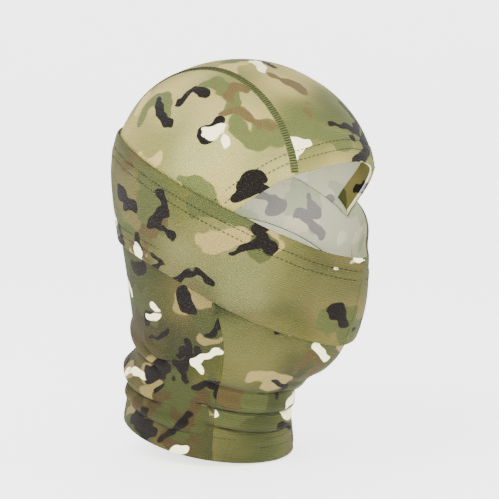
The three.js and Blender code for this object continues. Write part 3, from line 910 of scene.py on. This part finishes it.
i, j = grid(125, 92)
u = (2 * i - 1) * (seam_u(j) - SEAM_GAP / 120)
p, n = surf(u, chin_row(u, j))
pieces["chin"] = cloth("chin", p, n, neck_height(p), CLOTH_IN, "chin")
i, j = grid(125, 122)
for word, side in (("right", -1), ("left", 1)):
    u = side * lerp(seam_u(j) + SEAM_GAP / 120, math.pi - SEAM_GAP / 120, i)
    p, n = surf(u, chin_row(u, j))
    pieces[f"neck_side_{word}"] = cloth(f"neck_side_{word}", p, n, neck_height(p), CLOTH_IN,
                                        "neck", mirror=side > 0)
    v = np.linspace(0.12, 1, 260)
    line = seam_u(v)
    p, n = surf(side * line, chin_row(line, v))
    pieces[f"neck_seam_{word}"] = ridge(f"neck_seam_{word}", p, n, 1.5, CLOTH - 0.2, CLOTH + 0.75,
                                        "neck", mirror=side > 0)
v = np.linspace(0.1, 1, 300)
p, n = surf(np.full(300, math.pi), chin_row(math.pi, v))
pieces["nape_seam"] = ridge("nape_seam", p, n, 1.4, CLOTH - 0.2, CLOTH + 0.6, "neck")

i, j = grid(330, 14)
u = (2 * i - 1) * (math.pi - 0.008)
p, n = surf(u, hem_at(u) + lerp(0.6, HEM, j))
pieces["neck_turned_hem"] = cloth("neck_turned_hem", p, n, *UNDER, "neck", turned_in=True)
for k, word in enumerate(("lower", "upper")):
    u = np.linspace(-math.pi + 0.02, math.pi - 0.02, 1400)
    p, n = surf(u, hem_at(u) + HEM_ROWS[k])
    pieces[f"hem_row_{word}"] = stitches(f"hem_row_{word}", p, n, CLOTH + FOLD_OVER - GROOVE,
                                         **STITCH)

# ---- what each piece is ------------------------------------------------------------------------
STANDS_FOR = {
    "crown_center": ["crown_center_panel"], "crown_side_right": ["crown_side_panel_right"],
    "crown_side_left": ["crown_side_panel_left"], "flatlock_right": ["flatlock_seam_right"],
    "flatlock_left": ["flatlock_seam_left"], "brow_turned_hem": ["brow_hem"],
    "brow_row_outer": ["brow_stitch_outer"], "brow_row_inner": ["brow_stitch_inner"],
    "band": ["band_rear_panel", "mask_panel_right", "mask_panel_left"],
    "band_top_row_upper": ["band_rear_top_stitch_upper", "mask_top_stitch_upper"],
    "band_top_row_lower": ["band_rear_top_stitch_lower", "mask_top_stitch_lower"],
    "band_low_row_upper": ["band_rear_low_stitch_upper"],
    "band_low_row_lower": ["band_rear_low_stitch_lower"],
    "mask_seam": ["mask_front_seam"], "chin": ["chin_panel"],
    "neck_side_right": ["neck_side_panel_right"], "neck_side_left": ["neck_side_panel_left"],
    "neck_seam_right": ["neck_front_seam_right"], "neck_seam_left": ["neck_front_seam_left"],
    "nape_seam": ["neck_back_seam"], "neck_turned_hem": ["neck_hem"],
    "hem_row_lower": ["neck_hem_stitch_lower"], "hem_row_upper": ["neck_hem_stitch_upper"],
}
BENT = ("band", "band_top_row_upper", "band_top_row_lower", "band_low_row_upper",
        "band_low_row_lower")
# hide the frame's parts each piece replaces; the band and its rows are baked in place without a
# parent, the rest hang on the hood, the mask seam on the mask
for name, piece in pieces.items():
    if name in STANDS_FOR:
        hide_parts(*STANDS_FOR[name])
    if name in BENT:
        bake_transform(piece)
    else:
        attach(piece, "mask" if name == "mask_seam" else "hood")

# ---- studio ------------------------------------------------------------------------------------
def floor_plane(level):
    """A flat floor that curves up into a pale backdrop all round."""
    mesh = bpy.data.meshes.new("floor")
    sides = 96
    profile = [(0.4, 0), (1.0, 0), (2.0, 0), (3.2, 0)]
    profile += [(3.2 + 1.6 * math.sin(a * DEG), 1.6 * (1 - math.cos(a * DEG)))
                for a in range(10, 91, 10)] + [(4.8, 6.0)]
    points = [(0, 0, level)]
    for r, h in profile:
        points += [(r * math.cos(k * 2 * math.pi / sides), r * math.sin(k * 2 * math.pi / sides),
                    level + h) for k in range(sides)]
    faces = [(0, 1 + k, 1 + (k + 1) % sides) for k in range(sides)]
    for ring in range(len(profile) - 1):
        a = 1 + ring * sides
        faces += [(a + k, a + sides + k, a + sides + (k + 1) % sides, a + (k + 1) % sides)
                  for k in range(sides)]
    mesh.from_pydata(points, [], faces)
    mesh.polygons.foreach_set("use_smooth", [True] * len(mesh.polygons))
    material, tree, bsdf = shader("studio_floor", 0.9, 0.0)
    tone = mix(tree, noise(tree, 1.2), np.array([0.86, 0.86, 0.855]), np.array([0.9, 0.9, 0.9]))
    tree.links.new(tone, bsdf.inputs["Base Color"])
    bsdf.inputs["Emission Color"].default_value = (1, 1, 1, 1)
    bsdf.inputs["Emission Strength"].default_value = 1.5
    mesh.materials.append(material)
    plane = bpy.data.objects.new("floor", mesh)
    bpy.context.scene.collection.objects.link(plane)
    return plane


low, top = CAD_BOX
floor_plane(float(low[2]) - 0.0015)

world = bpy.data.worlds.new("studio")
world.use_nodes = True
world.node_tree.nodes["Background"].inputs["Color"].default_value = (1, 1, 1, 1)
world.node_tree.nodes["Background"].inputs["Strength"].default_value = 0.4
bpy.context.scene.world = world

AZIMUTH, ELEVATION, DISTANCE = -50 * DEG, 5 * DEG, 1.15
LENS_PX, PICTURE_PX, SENSOR_MM = 1616, 499, 36
MIDDLE = np.array([0, 0, -0.133])


def towards(az, el):
    return np.array([math.sin(az) * math.cos(el), -math.cos(az) * math.cos(el), math.sin(el)])


def aim(thing, place, target):
    thing.location = place
    look = -unit(np.asarray(target) - np.asarray(place))
    right = unit(np.cross([0, 0, 1], look))
    over = np.cross(look, right)
    thing.rotation_euler = Matrix(np.stack([right, over, look], 1).tolist()).to_euler()


back_to = towards(AZIMUTH, ELEVATION)
side_to = unit(np.cross([0, 0, 1], back_to))
up_to = np.cross(back_to, side_to)
target = MIDDLE + 0.005 * side_to - 0.0007 * up_to
lens = bpy.data.cameras.new("camera")
lens.sensor_width, lens.lens = SENSOR_MM, LENS_PX * SENSOR_MM / PICTURE_PX
camera = bpy.data.objects.new("camera", lens)
bpy.context.scene.collection.objects.link(camera)
aim(camera, target + DISTANCE * back_to, target)
bpy.context.scene.camera = camera


def soft_light(name, az, el, far, size, power, at=MIDDLE):
    data = bpy.data.lights.new(name, "AREA")
    data.size, data.energy = size, power
    light = bpy.data.objects.new(name, data)
    bpy.context.scene.collection.objects.link(light)
    aim(light, at + far * towards(az * DEG, el * DEG), at)


soft_light("key", -88, 46, 1.5, 0.7, 14)
soft_light("fill", -44, 7, 1.4, 0.45, 24)
soft_light("top", 150, 62, 1.5, 0.9, 7)
